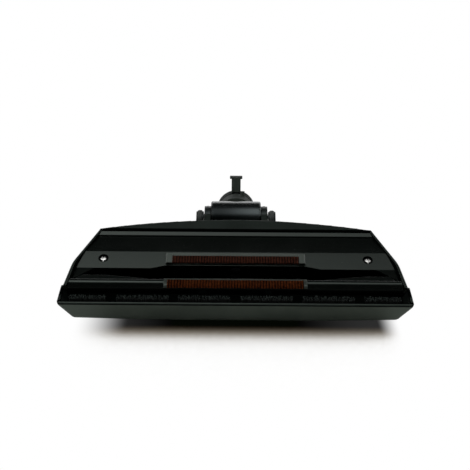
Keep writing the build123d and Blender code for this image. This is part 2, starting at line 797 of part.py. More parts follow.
pieces = {
    "housing": housing(),
    "sole_plate": sole_plate(),
    "sole_screws": sole_screws(),
    "rear_lint_holder": rear_lint_holder(),
    "rear_lint_pad": rear_lint_pad(),
    "front_lint_holder": front_lint_holder(),
    "front_lint_pad": front_lint_pad(),
    "brush_carrier": brush_carrier(),
    "bristle_strips": bristle_strips(),
    "pedal": pedal(),
    "pedal_pin": pedal_pin(),
    "detent_spring": detent_spring(),
    "air_duct": air_duct(),
    "tilt_elbow": tilt_elbow(),
    "swivel_seal": swivel_seal(),
    "swivel_ring": swivel_ring(),
    "wand_socket": wand_socket(),
    "bearing_cap_right": bearing_cap(),
    "bearing_cap_left": mirror(bearing_cap(), about=Plane.YZ),
    "cap_screws": cap_screws(),
}
for name, side in (("right", 1), ("left", -1)):
    pieces["wheel_" + name] = wheel(side)
    pieces["tyre_" + name] = tyre(side)
    pieces["wheel_axle_" + name] = wheel_axle(side)

# The head lies on its deck, with the middle of its footprint at the origin.
laid = {name: Rot(deck_slope, 0, 0) * piece for name, piece in pieces.items()}
extent = Compound([solid for piece in laid.values() for solid in piece.solids()]).bounding_box()
place = Pos(-extent.center().X, -extent.center().Y, -extent.min.Z)

os.makedirs("parts", exist_ok=True)
for name, piece in laid.items():
    export_step(place * piece, "parts/" + name + ".step")
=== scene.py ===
import json
import math
import random

import bmesh
import bpy
from mathutils import Matrix, Vector


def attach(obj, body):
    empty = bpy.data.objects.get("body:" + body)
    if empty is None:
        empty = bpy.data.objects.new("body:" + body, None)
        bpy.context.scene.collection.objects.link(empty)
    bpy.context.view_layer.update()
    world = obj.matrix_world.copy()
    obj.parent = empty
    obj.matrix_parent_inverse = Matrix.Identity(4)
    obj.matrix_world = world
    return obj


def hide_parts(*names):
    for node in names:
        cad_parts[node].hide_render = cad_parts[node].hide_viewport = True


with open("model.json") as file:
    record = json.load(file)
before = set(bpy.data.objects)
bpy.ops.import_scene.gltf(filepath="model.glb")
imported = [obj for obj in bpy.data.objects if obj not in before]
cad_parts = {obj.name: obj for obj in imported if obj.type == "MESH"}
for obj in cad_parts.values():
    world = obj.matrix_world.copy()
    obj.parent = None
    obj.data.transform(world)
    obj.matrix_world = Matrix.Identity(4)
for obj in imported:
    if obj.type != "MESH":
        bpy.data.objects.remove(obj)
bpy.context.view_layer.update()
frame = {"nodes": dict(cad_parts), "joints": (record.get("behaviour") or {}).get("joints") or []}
nodes = frame["nodes"]
joints = {joint["name"]: joint for joint in frame["joints"]}
print("frame loaded:", len(nodes), "nodes")

millimetre = 0.001
rightward, upward = (1.0, 0.0, 0.0), (0.0, 0.0, 1.0)

# the sole leans: the brush slides along the sole's own normal
soleUp = Vector(joints["brush_lift"]["axis"]).normalized()
soleTurn = Matrix.Rotation(math.atan2(-soleUp.y, soleUp.z), 3, "X")
soleBack = soleTurn @ Vector((0.0, 1.0, 0.0))


def solePoints(name):
    # a node's points, measured along the sole
    return [soleTurn.transposed() @ vertex.co for vertex in nodes[name].data.vertices]


def boxOf(points):
    low = Vector([min(point[axis] for point in points) for axis in range(3)])
    high = Vector([max(point[axis] for point in points) for axis in range(3)])
    return low, high


class Wire:
    # a node's socket that can stand in a Python expression
    def __init__(self, bench, socket):
        self.bench = bench
        self.socket = socket

    def __add__(self, other):
        return self.bench.maths("ADD", self, other)

    def __radd__(self, other):
        return self.bench.maths("ADD", other, self)

    def __sub__(self, other):
        return self.bench.maths("SUBTRACT", self, other)

    def __rsub__(self, other):
        return self.bench.maths("SUBTRACT", other, self)

    def __mul__(self, other):
        return self.bench.maths("MULTIPLY", self, other)

    def __rmul__(self, other):
        return self.bench.maths("MULTIPLY", other, self)

    def __truediv__(self, other):
        return self.bench.maths("DIVIDE", self, other)

    def __rtruediv__(self, other):
        return self.bench.maths("DIVIDE", other, self)

    def __pow__(self, other):
        return self.bench.maths("POWER", self, other)

    def __rpow__(self, other):
        return self.bench.maths("POWER", other, self)

    def bent(self, low, high):
        # a soft step from 0 at low to 1 at high
        return self.bench.add("ShaderNodeMapRange", {"interpolation_type": "SMOOTHSTEP"},
                              {"Value": self, "From Min": low, "From Max": high})

    def within(self, low, high, blur):
        # 1 between low and high, with soft ends
        return self.bent(low - blur, low + blur) * (1.0 - self.bent(high - blur, high + blur))


class Bench:
    # the nodes of one material or world
    def __init__(self, tree):
        self.tree = tree
        tree.nodes.clear()

    def add(self, kind, settings=None, inputs=None, output=0):
        node = self.tree.nodes.new(kind)
        for name, value in (settings or {}).items():
            setattr(node, name, value)
        for name, value in (inputs or {}).items():
            if isinstance(value, Wire):
                self.tree.links.new(value.socket, node.inputs[name])
            else:
                node.inputs[name].default_value = value
        return Wire(self, node.outputs[output] if node.outputs else None)

    def maths(self, operation, first, second=0.0):
        return self.add("ShaderNodeMath", {"operation": operation}, {0: first, 1: second})

    def place(self):
        return self.add("ShaderNodeTexCoord", output="Object")

    def trueNormal(self):
        return self.add("ShaderNodeNewGeometry", output="True Normal")

    def scaled(self, vector, scale):
        return self.add("ShaderNodeVectorMath", {"operation": "MULTIPLY"}, {0: vector, 1: scale})

    def dot(self, first, second):
        return self.add("ShaderNodeVectorMath", {"operation": "DOT_PRODUCT"}, {0: first, 1: second}, "Value")

    def parts(self, vector):
        made = self.add("ShaderNodeSeparateXYZ", None, {0: vector})
        return [Wire(self, socket) for socket in made.socket.node.outputs]

    def noise(self, vector, scale, detail=2.0, rough=0.5, warp=0.0):
        return self.add("ShaderNodeTexNoise", {"noise_dimensions": "3D"},
                        {"Vector": vector, "Scale": scale, "Detail": detail, "Roughness": rough,
                         "Distortion": warp})

    def mixed(self, factor, first, second):
        return self.add("ShaderNodeMix", {"data_type": "RGBA"}, {0: factor, 6: first, 7: second}, 2)

    def shader(self, inputs, factor=None, others=None):
        made = self.add("ShaderNodeBsdfPrincipled", None, inputs)
        if factor:
            other = self.add("ShaderNodeBsdfPrincipled", None, others)
            made = self.add("ShaderNodeMixShader", None, {0: factor, 1: made, 2: other})
        self.add("ShaderNodeOutputMaterial", None, {"Surface": made})


def newFinish(name):
    material = bpy.data.materials.new(name)
    material.use_nodes = True
    return material, Bench(material.node_tree)


def dress(material, *names):
    for name in names:
        mesh = nodes[name].data
        mesh.materials.clear()
        mesh.materials.append(material)
        for polygon in mesh.polygons:
            polygon.material_index = 0


def rgba(colour):
    return (*colour, 1.0)


# painted shade lines: straight ones along the sole, and rings around a joint
def shadeLineMask(bench, look, place, wall):
    lines = []
    for line in look["seams"]:
        back, height = bench.dot(place, soleBack), bench.dot(place, soleUp)
        band = back.within(*line["along"], line["blur"]) * height.within(*line["height"], line["blur"])
        lines.append(band * (1.0 - wall) if line["floor"] else band)
    for ring in look["rings"]:
        joint = joints[ring["joint"]]
        away = bench.add("ShaderNodeVectorMath", {"operation": "SUBTRACT"}, {0: place, 1: joint["pos_m"]})
        length = bench.add("ShaderNodeVectorMath", {"operation": "LENGTH"}, {0: away}, "Value")
        along = bench.dot(away, joint["axis"])
        inside = 1.0 - ((length * length - along * along) ** 0.5).bent(*ring["radius"])
        lines.append(along.within(*ring["along"], ring["blur"]) * inside)
    return sum(lines)


# moulded black plastic: fine spark texture, flow marks, hairline scratches, pale edges that are partly wear
# and partly painted highlight, painted reflection on front walls and painted shade in lines and gaps
def mouldedPlastic(name, look):
    material, bench = newFinish(name)
    place, flat = bench.place(), bench.trueNormal()
    x = bench.parts(place)[0]
    rounded = bench.add("ShaderNodeBevel", {"samples": look["edgeSamples"]}, {"Radius": look["edgeRadius"]})
    grain = bench.noise(place, look["grainScale"], detail=2.0, rough=0.6)
    cloud = bench.noise(place, look["cloudScale"], detail=4.0, rough=0.55, warp=0.3)
    patchy = cloud.bent(*look["cloudSpan"])
    rubbed = bench.noise(bench.scaled(place, look["rubStretch"]), look["rubScale"], detail=3.0, rough=0.6)
    hairs = rubbed.bent(*look["hairSpan"])
    specks = bench.noise(place, look["speckScale"], detail=1.0).bent(*look["speckSpan"])
    edge = (1.0 - bench.dot(rounded, flat)).bent(*look["edgeSpan"])
    edge = edge * (look["edgeLeast"] + cloud * look["edgePatch"])
    # the walls are spark eroded, what lies along the sole is smooth
    wall = 1.0 - bench.dot(flat, soleUp).bent(*look["wallSpan"])
    front = wall * (1.0 - bench.dot(flat, soleBack).bent(*look["frontSpan"]))
    inward = 1.0 - (bench.dot(flat, rightward) * bench.maths("SIGN", x)).bent(*look["inwardSpan"])
    seam = shadeLineMask(bench, look, place, wall)

    colour = bench.mixed(patchy, rgba(look["dark"]), rgba(look["light"]))
    for mask, wearAndHighlight in ((hairs, "hair"), (specks, "speck"), (edge, "edge")):
        if look[wearAndHighlight + "Share"]:
            colour = bench.mixed(mask * look[wearAndHighlight + "Share"], colour, rgba(look[wearAndHighlight]))
    # painted light: front-facing walls are lighter, standing in for the bright floor they reflect
    if look["frontReflectionShare"]:
        paintedReflection = bench.mixed(patchy, rgba(look["frontReflectionDark"]), rgba(look["frontReflectionLight"]))
        reach = 1.0 - bench.dot(place, soleBack).bent(*look["frontReach"])
        colour = bench.mixed(front * reach * look["frontReflectionShare"], colour, paintedReflection)
    # painted shade: the lines and rings darken the colour
    if seam:
        colour = bench.mixed(seam, colour, rgba(look["seam"]))
    if look["gapShade"]:
        # painted shade: walls that look into the head's own gaps are darkened
        colour = bench.mixed(inward * look["gapShade"], colour, rgba(look["seam"]))

    rough = look["rough"] + (cloud - 0.5) * look["roughSpread"]
    rough = rough + hairs * look["hairRough"] + specks * look["speckRough"]
    if look["wallRough"]:
        rough = rough + wall * look["wallRough"]
    bump = bench.add("ShaderNodeBump", None,
                     {"Strength": look["bump"], "Distance": look["bumpDepth"],
                      "Height": grain + hairs * look["hairHeight"], "Normal": rounded})
    if look["crown"]:
        # the top of the bar rolls over towards the lip
        rise = bench.dot(place, soleBack).bent(*look["crown"]) * look["crownDrop"]
        bump = bench.add("ShaderNodeBump", None,
                         {"Strength": 1.0, "Distance": 1.0, "Height": rise, "Normal": bump})

    # the painted shade lines, the walls that look into gaps, the front walls and one end of the drum lose
    # their gloss
    dull = seam
    if look["dullInward"]:
        dull = dull + wall * inward * look["dullInward"]
    if look["dullFront"]:
        dull = dull + front * look["dullFront"]
    if look["dullAside"]:
        below = 1.0 - bench.dot(flat, upward).bent(*look["topSpan"])
        dull = dull + (1.0 - x.bent(*look["aside"])) * below * look["dullAside"]
    satin = {"Base Color": colour, "Roughness": rough, "Normal": bump, "IOR": look["ior"],
             "Specular IOR Level": look["specular"], "Specular Tint": rgba(look["tint"])}
    matt = dict(satin, **{"IOR": look["dullIor"], "Specular IOR Level": look["dullSpecular"]})
    bench.shader(satin, dull, matt)
    return material


soleLow, soleHigh = boxOf(solePoints("sole_plate"))
lipLow, lipHigh = boxOf(solePoints("housing"))
housingLook = {
    "dark": (0.0110, 0.0150, 0.0128), "light": (0.0145, 0.0195, 0.0166),
    "cloudScale": 34.0, "cloudSpan": (0.32, 0.70),
    "frontReflectionDark": (0.040, 0.050, 0.039), "frontReflectionLight": (0.054, 0.066, 0.052), "frontReflectionShare": 1.0,
    "frontReach": (lipLow.y + 0.030, lipLow.y + 0.060), "frontSpan": (-0.6, -0.2),
    "wallSpan": (0.05, 0.35), "inwardSpan": (-0.7, -0.3), "topSpan": (0.90, 0.96),
    "gapShade": 0.85, "dullInward": 1.0, "dullFront": 0.0, "dullAside": 0.0,
    "dullIor": 1.05, "dullSpecular": 0.03,
    "hair": (0.012, 0.013, 0.012), "hairShare": 0.3, "hairRough": 0.05, "hairSpan": (0.60, 0.74),
    "hairHeight": 0.35, "rubStretch": (1.0, 0.12, 1.0), "rubScale": 420.0,
    "speck": (0.03, 0.03, 0.028), "speckShare": 0.10, "speckRough": 0.15, "speckSpan": (0.74, 0.80),
    "speckScale": 900.0,
    "edge": (0.030, 0.034, 0.031), "edgeShare": 0.6, "edgeRadius": 0.0005, "edgeSamples": 4,
    "edgeSpan": (0.01, 0.20), "edgeLeast": 0.4, "edgePatch": 0.8,
    "rough": 0.30, "roughSpread": 0.10, "wallRough": 0.28,
    "grainScale": 2600.0, "bump": 0.25, "bumpDepth": 0.00004, "crown": None,
    "ior": 1.50, "specular": 0.40, "tint": (0.85, 1.0, 0.90),
    "seam": (0.0012, 0.0017, 0.0015), "rings": [],
    "seams": [
        # painted shade of a groove under the bead of the front lip, which is not modelled
        {"along": (lipLow.y - 0.005, lipLow.y + 0.024), "blur": 0.0002, "floor": False,
         "height": (lipHigh.z - 0.0020, lipHigh.z - 0.0009)},
        # painted shade on the lip's inner side
        {"along": (lipLow.y + 0.0014, lipLow.y + 0.0040), "blur": 0.0002, "floor": False,
         "height": (lipHigh.z - 0.0060, lipHigh.z + 0.001)},
        # painted shade that widens the gap behind the sole
        {"along": (soleHigh.y - 0.0005, soleHigh.y + 0.0021), "blur": 0.0003, "floor": False,
         "height": (lipHigh.z - 0.012, lipHigh.z + 0.010)},
        # painted shade on the floor inside the shell
        {"along": (lipLow.y + 0.005, soleHigh.y - 0.002), "blur": 0.001, "floor": True,
         "height": (lipHigh.z - 0.060, lipHigh.z - 0.011)},
    ],
}
soleLook = dict(housingLook, dark=(0.0021, 0.0031, 0.0026), light=(0.0033, 0.0044, 0.0038),
                frontReflectionShare=0.0, gapShade=0.0, dullInward=0.0, dullFront=1.0, wallSpan=(0.40, 0.70),
                rough=0.22, wallRough=0.0, specular=0.36, speckShare=0.0, hairShare=0.1, hairRough=0.015,
                rubStretch=(1.0, 0.06, 1.0), rubScale=300.0, edgeShare=0.10, edgeRadius=0.00022,
                crown=(soleLow.y + 0.0004, soleLow.y + 0.0074), crownDrop=0.0029, seams=[])
# the holder's pale edges are partly wear and partly painted highlight
holderLook = dict(soleLook, dark=(0.026, 0.030, 0.026), light=(0.038, 0.043, 0.038), rough=0.34,
                  edge=(0.07, 0.075, 0.07), edgeShare=0.9, specular=0.45, dullFront=0.0, crown=None)
# handling leaves one end of the drum duller than the other
elbowLook = dict(housingLook, dark=(0.0012, 0.0019, 0.0017), light=(0.0022, 0.0030, 0.0027),
                 frontReflectionShare=0.0, gapShade=0.0, dullInward=0.0, dullAside=0.75, aside=(-0.016, 0.024),
                 rough=0.24, wallRough=0.0, specular=0.62, tint=(0.84, 0.98, 1.0),
                 rubStretch=(0.15, 1.0, 1.0), rubScale=350.0, edgeRadius=0.003, seams=[])
neckLook = dict(elbowLook, dullAside=0.0)
# the pale edges of the caps and wheels are partly wear and partly painted highlight
capLook = dict(neckLook, dark=(0.0048, 0.0058, 0.0052), light=(0.0090, 0.0106, 0.0096), rough=0.38,
               specular=0.26, edge=(0.08, 0.085, 0.08), edgeShare=0.8, edgeRadius=0.0008)
socketLook = dict(neckLook, dark=(0.020, 0.024, 0.021), light=(0.031, 0.036, 0.032), rough=0.72,
                  specular=0.10, grainScale=1500.0, bump=0.5, bumpDepth=0.0001,
                  edge=(0.09, 0.095, 0.09), edgeShare=0.8, edgeRadius=0.0005, wallSpan=(0.45, 0.75),
                  frontReflectionDark=(0.052, 0.064, 0.052), frontReflectionLight=(0.078, 0.094, 0.080), frontReflectionShare=1.0,
                  frontReach=(1.0, 2.0), seam=(0.005, 0.0062, 0.0055),
                  # a painted shade ring round the socket's end, standing for a groove at the collar that is
                  # not modelled
                  rings=[{"joint": "neck_swivel", "along": (0.0255, 0.0305), "blur": 0.0004,
                          "radius": (0.0184, 0.0188)}])
ringLook = dict(neckLook, dark=(0.40, 0.40, 0.37), light=(0.52, 0.52, 0.48), rough=0.42, specular=0.40,
                edgeRadius=0.0005)
# painted shade: the carrier, strips and pedal are darker than the other plastics, for the dark recess they
# sit in
brushLook = dict(neckLook, dark=(0.0006, 0.0009, 0.0008), light=(0.0012, 0.0016, 0.0014), rough=0.30,
                 ior=1.05, specular=0.02, edgeShare=0.05, edgeRadius=0.00004, hairShare=0.1, speckShare=0.0)

housingPlastic = mouldedPlastic("housingPlastic", housingLook)
solePlastic = mouldedPlastic("solePlastic", soleLook)
holderPlastic = mouldedPlastic("holderPlastic", holderLook)
elbowPlastic = mouldedPlastic("elbowPlastic", elbowLook)
capPlastic = mouldedPlastic("capPlastic", capLook)
socketPlastic = mouldedPlastic("socketPlastic", socketLook)
ringPlastic = mouldedPlastic("ringPlastic", ringLook)
brushPlastic = mouldedPlastic("brushPlastic", brushLook)


# zinc plated steel: bright, with fine lines of the rolling and small dull stains
steelLook = {"bright": (0.72, 0.72, 0.70), "dull": (0.46, 0.46, 0.44), "rough": 0.22,
             "stainScale": 700.0, "stainSpan": (0.35, 0.70), "stainRough": 0.15,
             "lineScale": 5200.0, "lineStretch": (1.0, 0.1, 1.0), "lineRough": 0.08,
             "bump": 0.2, "bumpDepth": 0.00002, "domes": None}


def steelFinish(name, look):
    material, bench = newFinish(name)
    place = bench.place()
    stain = bench.noise(place, look["stainScale"], detail=3.0).bent(*look["stainSpan"])
    lines = bench.noise(bench.scaled(place, look["lineStretch"]), look["lineScale"])
    colour = bench.mixed(stain, rgba(look["bright"]), rgba(look["dull"]))
    rough = look["rough"] + stain * look["stainRough"] + lines * look["lineRough"]
    bump = bench.add("ShaderNodeBump", None,
                     {"Strength": look["bump"], "Distance": look["bumpDepth"], "Height": lines})
    if look["domes"]:
        # the pressed heads are domed: height falls with the square of the way from the screw's middle
        x, y, z = bench.parts(place)
        across = bench.maths("ABSOLUTE", x) - look["domes"].x
        along = y * soleUp.z - z * soleUp.y - look["domes"].y - look["domeBack"]
        dome = (across * across + along * along) * (-0.5 / look["domeRadius"])
        bump = bench.add("ShaderNodeBump", None,
                         {"Strength": 1.0, "Distance": 1.0, "Height": dome, "Normal": bump})
        # painted shade: faces of the screw that do not face up, the walls of its cross recess, are darkened
        upright = bench.dot(bench.trueNormal(), soleUp).bent(*look["slotSpan"])
        colour = bench.mixed(upright, rgba(look["slot"]), colour)
        # painted shade over the head's rim, further on the side away from the lip, which also makes the head
        # look smaller
        forward = along + look["domeBack"] + look["rimShadeBack"]
        rimShade = ((across * across + forward * forward) ** 0.5).bent(*look["rimShade"])
        colour = bench.mixed(rimShade, colour, rgba(look["slot"]))
    bench.shader({"Base Color": colour, "Roughness": rough, "Normal": bump, "Metallic": 1.0})
    return material


screwLow, screwHigh = boxOf(solePoints("sole_screws"))
screwMiddle = Vector((screwHigh.x - (screwHigh.y - screwLow.y) / 2, (screwLow.y + screwHigh.y) / 2, 0.0))
screwLook = dict(steelLook, bright=(0.74, 0.74, 0.72), rough=0.30, slot=(0.03, 0.03, 0.03),
                 slotSpan=(0.3, 0.7), domes=screwMiddle, domeRadius=0.0100, domeBack=0.0024,
                 rimShade=(0.0018, 0.0026), rimShadeBack=0.0007)
springLook = dict(steelLook, bright=(0.05, 0.05, 0.055), dull=(0.025, 0.024, 0.024), rough=0.38)
brightSteel = steelFinish("brightSteel", steelLook)
screwSteel = steelFinish("screwSteel", screwLook)
darkSteel = steelFinish("darkSteel", springLook)


# rubber: matt, with a bloom that gathers in patches
rubberLook = {"dark": (0.016, 0.020, 0.018), "bloom": (0.042, 0.050, 0.045), "rough": 0.66,
              "patchScale": 160.0, "patchSpan": (0.40, 0.75), "patchRough": 0.12,
              "grainScale": 3200.0, "bump": 0.3, "bumpDepth": 0.00004}


def mattRubber(name, look):
    material, bench = newFinish(name)
    place = bench.place()
    patch = bench.noise(place, look["patchScale"], detail=4.0, rough=0.6).bent(*look["patchSpan"])
    grain = bench.noise(place, look["grainScale"])
    colour = bench.mixed(patch, rgba(look["dark"]), rgba(look["bloom"]))
    rough = look["rough"] + patch * look["patchRough"]
    bump = bench.add("ShaderNodeBump", None,
                     {"Strength": look["bump"], "Distance": look["bumpDepth"], "Height": grain})
    bench.shader({"Base Color": colour, "Roughness": rough, "Normal": bump})
    return material


tyreRubber = mattRubber("tyreRubber", rubberLook)
sealRubber = mattRubber("sealRubber", dict(rubberLook, dark=(0.006, 0.006, 0.007), rough=0.58))

dress(housingPlastic, "housing", "air_duct")
dress(solePlastic, "sole_plate")
dress(holderPlastic, "rear_lint_holder", "front_lint_holder")
dress(elbowPlastic, "tilt_elbow")
dress(capPlastic, "bearing_cap_right", "bearing_cap_left", "wheel_right", "wheel_left")
dress(socketPlastic, "wand_socket")
dress(ringPlastic, "swivel_ring")
dress(brushPlastic, "brush_carrier", "bristle_strips", "pedal")
dress(screwSteel, "sole_screws")
dress(brightSteel, "cap_screws", "wheel_axle_right", "wheel_axle_left")
dress(darkSteel, "pedal_pin", "detent_spring")
dress(tyreRubber, "tyre_right", "tyre_left")
dress(sealRubber, "swivel_seal")
print("CAD nodes dressed")


# one thin filament: a bent three sided stalk from root to tip
def addStalk(points, faces, root, tip, sag, width, taper):
    along = (tip - root).normalized()
    side = along.orthogonal().normalized()
    other = along.cross(side)
    first = len(points)
    middle = (root + tip) / 2 + sag
    for centre, thick in ((root, width), (middle, width * (1 + taper) / 2), (tip, width * taper)):
        for corner in range(3):
            turn = 2 * math.pi * corner / 3
            points.append(centre + (side * math.cos(turn) + other * math.sin(turn)) * thick / 2)
    for ring in (first, first + 3):
        for corner in range(3):
            after = (corner + 1) % 3
            faces.append((ring + corner, ring + after, ring + 3 + after, ring + 3 + corner))
    faces.append((first + 6, first + 7, first + 8))


def newPiece(name, points, faces, material):
    mesh = bpy.data.meshes.new(name)
    mesh.from_pydata([tuple(point) for point in points], [], faces)
    mesh.materials.append(material)
    mesh.update()
    piece = bpy.data.objects.new(name, mesh)
    bpy.context.scene.collection.objects.link(piece)
    return piece


# nylon bristles in tufts, six strips on the sliding carrier; lengths in millimetres
bristleLook = {"tuftPitch": 1.15, "jitter": 0.25, "setBack": 1.8, "stripGap": 4.0, "stripLeast": 20.0,
               "filaments": 5, "spread": 0.42, "rootSpread": 0.7, "tipSpread": 1.4, "root": 0.4,
               "width": 0.30, "taper": 0.5, "lean": 0.75, "fan": 1.1, "tuftLean": 0.4, "stray": 0.22,
               "sweep": 2.0, "sag": -0.12, "short": 0.7, "ragged": 0.5, "seed": 41,
               "foot": (0.003, 0.0039, 0.0036), "dark": (0.060, 0.078, 0.072),
               "pale": (0.150, 0.188, 0.173), "footSpan": (0.72, 0.94),
               "tuftScale": 620.0, "tuftSpan": (0.36, 0.66), "fineScale": 2600.0,
               "rough": 0.55, "fineRough": 0.2, "bump": 0.2, "bumpDepth": 0.00003}


def nylonFinish(look):
    material, bench = newFinish("bristleNylon")
    place = bench.place()
    tuft = bench.noise(place, look["tuftScale"]).bent(*look["tuftSpan"])
    fine = bench.noise(place, look["fineScale"])
    low, high = boxOf(solePoints("bristle_strips"))
    height = (bench.dot(place, soleUp) - low.z) / (high.z - low.z)
    colour = bench.mixed(tuft, rgba(look["dark"]), rgba(look["pale"]))
    # painted shade: the stalks darken towards their roots
    colour = bench.mixed(height.bent(*look["footSpan"]), rgba(look["foot"]), colour)
    rough = look["rough"] + fine * look["fineRough"]
    bump = bench.add("ShaderNodeBump", None,
                     {"Strength": look["bump"], "Distance": look["bumpDepth"], "Height": fine})
    bench.shader({"Base Color": colour, "Roughness": rough, "Normal": bump})
    return material


def bristleIslands(look):
    # the six solids of the strip node, as boxes along the sole
    points = sorted(solePoints("bristle_strips"), key=lambda point: point.x)
    groups = [[points[0]]]
    for point in points[1:]:
        near = groups[-1][-1]
        farOff = point.x - near.x > look["stripGap"] * millimetre
        if farOff and near.x - groups[-1][0].x > look["stripLeast"] * millimetre:
            groups.append([])
        groups[-1].append(point)
    return [boxOf(group) for group in groups]


def makeBristles(look):
    chance = random.Random(look["seed"])
    points, faces = [], []
    pitch = look["tuftPitch"] * millimetre
    for low, high in bristleIslands(look):
        low.y += look["setBack"] * millimetre
        columns = int((high.x - low.x) / pitch)
        rows = int((high.y - low.y) / pitch)
        for column in range(columns):
            for row in range(rows):
                centre = Vector((low.x + (column + 0.5) * (high.x - low.x) / columns,
                                 low.y + (row + 0.5) * (high.y - low.y) / rows, low.z))
                centre.x += chance.uniform(-look["jitter"], look["jitter"]) * pitch
                centre.y += chance.uniform(-look["jitter"], look["jitter"]) * pitch
                outward = (row + 0.5) / rows - 0.5
                lean = Vector((chance.gauss(0, look["tuftLean"]),
                               outward * look["fan"] + chance.gauss(0, look["tuftLean"]), 0))
                tuftTop = high.z - chance.random() ** 2 * look["short"] * millimetre
                for filament in range(look["filaments"]):
                    turn = chance.uniform(0, 2 * math.pi)
                    reach = math.sqrt(chance.random()) * look["spread"] * millimetre
                    step = Vector((math.cos(turn), math.sin(turn), 0)) * reach
                    root = centre + step * look["rootSpread"] + Vector((0, 0, look["root"] * millimetre))
                    stray = Vector((chance.gauss(0, look["stray"]), chance.gauss(0, look["stray"]), 0))
                    tip = centre + step * look["tipSpread"] + (lean + stray) * look["lean"] * millimetre
                    tip.y += look["sweep"] * millimetre
                    tip.z = tuftTop - chance.random() * look["ragged"] * millimetre
                    sag = (lean + stray) * look["sag"] * millimetre
                    addStalk(points, faces, root, tip, sag, look["width"] * millimetre, look["taper"])
    points = [soleTurn @ point for point in points]
    piece = newPiece("bristle_tufts", points, faces, nylonFinish(look))
    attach(piece, "brush")
    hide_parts("bristle_strips")
    print("bristles:", len(faces), "faces")


makeBristles(bristleLook)


# ribbed velour that grips lint: a ribbed ground with leaning pile on it; lengths in millimetres
frontVelour = {"piece": "front_lint_velour", "node": "front_lint_pad", "cut": 0.5, "seed": 7,
               "ribPitch": 2.3, "ribDepth": 0.40, "groundDepth": 0.12,
               "pile": 8000, "pileLength": 0.95, "valley": 0.35, "lengthSpread": (0.7, 1.1),
               "nap": -0.30, "stray": 0.18, "strayUp": 0.1, "rooted": 0.3, "width": 0.16, "taper": 0.4,
               "pileUp": 0.05, "pileFront": -0.5, "groundFront": -0.3,
               "low": (0.003, 0.0007, 0.0003), "high": (0.125, 0.031, 0.0068),
               "clumpScale": 420.0, "clumpSpan": (0.30, 0.70), "fineScale": 3800.0,
               "wornScale": 60.0, "wornSpan": (0.35, 0.65), "wornShare": 0.35, "wornLevel": 0.6,
               "wander": 0.22, "least": 0.50, "clumpDepth": 0.4, "fineDepth": 0.2, "wornDepth": 0.15,
               "rough": 0.86, "fineRough": 0.1, "bump": 0.4, "bumpDepth": 0.0001, "specular": 0.05,
               "sheen": 0.06, "sheenRough": 0.5, "sheenTint": (0.55, 0.16, 0.08)}
rearVelour = dict(frontVelour, piece="rear_lint_velour", node="rear_lint_pad", pile=5600, pileLength=0.8,
                  low=(0.0025, 0.0008, 0.0006), high=(0.075, 0.0245, 0.0145), seed=11)


def velourFinish(look):
    material, bench = newFinish(look["piece"])
    place = bench.place()
    x = bench.parts(place)[0]
    clump = bench.noise(place, look["clumpScale"], detail=3.0, rough=0.6).bent(*look["clumpSpan"])
    fine = bench.noise(place, look["fineScale"])
    worn = bench.noise(place, look["wornScale"]).bent(*look["wornSpan"])
    wander = x + (clump - 0.5) * (look["ribPitch"] * look["wander"] * millimetre)
    ribs = bench.maths("SINE", wander * (2 * math.pi / (look["ribPitch"] * millimetre))) * 0.5 + 0.5
    ribs = ribs + worn * look["wornShare"] * (look["wornLevel"] - ribs)
    depth = look["least"] + clump * look["clumpDepth"] + fine * look["fineDepth"] + worn * look["wornDepth"]
    # painted shade: the valleys between the ribs are dark, the ridges pale
    colour = bench.mixed(ribs * depth, rgba(look["low"]), rgba(look["high"]))
    rough = look["rough"] + fine * look["fineRough"]
    bump = bench.add("ShaderNodeBump", None,
                     {"Strength": look["bump"], "Distance": look["bumpDepth"], "Height": fine})
    bench.shader({"Base Color": colour, "Roughness": rough, "Normal": bump,
                  "Specular IOR Level": look["specular"], "Sheen Weight": look["sheen"],
                  "Sheen Roughness": look["sheenRough"], "Sheen Tint": rgba(look["sheenTint"])})
    return material


